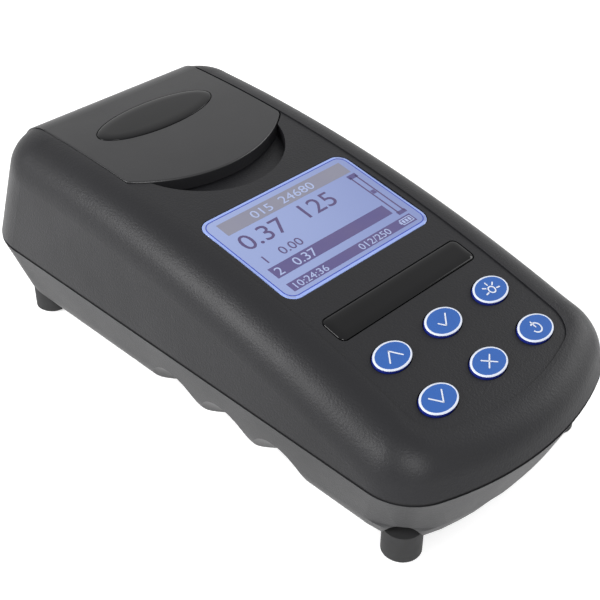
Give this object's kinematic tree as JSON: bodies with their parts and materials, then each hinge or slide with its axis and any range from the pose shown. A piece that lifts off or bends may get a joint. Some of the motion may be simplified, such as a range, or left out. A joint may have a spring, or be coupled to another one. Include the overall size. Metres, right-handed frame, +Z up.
{
  "type": "handheld colorimeter",
  "caption": "Hand-held bench colorimeter: hull-shaped case, hinged lid over a sample tube chamber, display window and oval keys.",
  "frame": {"origin": "centre of the plan at the plane of the feet, on the bench", "axes": "+X to the right of a reader in front of the keys, +Y from the keys to the hinge end, +Z up"},
  "size_m": [0.0884, 0.187, 0.0633],
  "materials": {
    "housing_plastic": "fine textured",
    "base_plastic": "fine textured",
    "lid_plastic": "satin",
    "dome_label": "high gloss",
    "key_plastic": "semi-gloss",
    "window_plastic": "clear, gloss",
    "display_glass": "smooth",
    "white_plastic": "satin",
    "black_rubber": "matt",
    "black_foam": "open cell foam",
    "mat_rubber": "matt",
    "chamber_plastic": "matt",
    "steel": "bright",
    "brass": "knurled",
    "aluminium": "plain",
    "board": "solder resist",
    "clear_lens": "clear",
    "dark_lens": "smoked",
    "battery_wrap": "shrink wrap",
    "ribbon": "film"
  },
  "bodies": {
    "body": {"lower_housing": "base_plastic", "upper_housing": "housing_plastic", "housing_seal": "black_rubber", "hinge_pin": "steel", "display_window": "window_plastic", "nameplate": "dome_label", "keypad_mat": "mat_rubber", "dome_switches": "steel", "keypad_board": "board", "keypad_screws": "steel", "display_frame": "white_plastic", "display_glass": "display_glass", "display_ribbon": "ribbon", "main_board": "board", "board_screws": "steel", "optics_block": "chamber_plastic", "chamber_gasket": "black_rubber", "tube_adapter": "chamber_plastic", "adapter_screw": "steel", "led_emitters": "clear_lens", "emitter_board": "board", "photodiodes": "dark_lens", "detector_board": "board", "optics_screws": "steel", "battery_pad": "black_foam", "battery_pack": "battery_wrap", "battery_strap": "aluminium", "strap_screws": "steel", "socket_board": "board", "usb_socket": "steel", "socket_screws": "steel", "rubber_feet": "black_rubber", "housing_screws": "steel", "housing_inserts": "brass"},
    "lid": {"chamber_lid": "lid_plastic", "lid_badge": "dome_label", "lid_light_seal": "black_foam"},
    "up": {"key_up": "key_plastic"},
    "enter": {"key_enter": "key_plastic"},
    "light": {"key_light": "key_plastic"},
    "down": {"key_down": "key_plastic"},
    "exit": {"key_exit": "key_plastic"},
    "power": {"key_power": "key_plastic"}
  },
  "joints": [
    {"name": "lid_hinge", "type": "hinge", "parent": "body", "child": "lid", "pos_m": [0, 0.07132, 0.0505], "axis": [-1, 0, 0], "range_deg": [0, 95]},
    {"name": "up_press", "type": "slide", "parent": "body", "child": "up", "axis": [0, 0.2883, -0.9575], "range_m": [0, 0.0008], "stiffness_N_per_m": 1500, "springref_m": -0.0002},
    {"name": "enter_press", "type": "slide", "parent": "body", "child": "enter", "axis": [0, 0.2883, -0.9575], "range_m": [0, 0.0008], "stiffness_N_per_m": 1500, "springref_m": -0.0002},
    {"name": "light_press", "type": "slide", "parent": "body", "child": "light", "axis": [0, 0.2883, -0.9575], "range_m": [0, 0.0008], "stiffness_N_per_m": 1500, "springref_m": -0.0002},
    {"name": "down_press", "type": "slide", "parent": "body", "child": "down", "axis": [0, 0.2883, -0.9575], "range_m": [0, 0.0008], "stiffness_N_per_m": 1500, "springref_m": -0.0002},
    {"name": "exit_press", "type": "slide", "parent": "body", "child": "exit", "axis": [0, 0.2883, -0.9575], "range_m": [0, 0.0008], "stiffness_N_per_m": 1500, "springref_m": -0.0002},
    {"name": "power_press", "type": "slide", "parent": "body", "child": "power", "axis": [0, 0.2883, -0.9575], "range_m": [0, 0.0008], "stiffness_N_per_m": 1500, "springref_m": -0.0002}
  ]
}
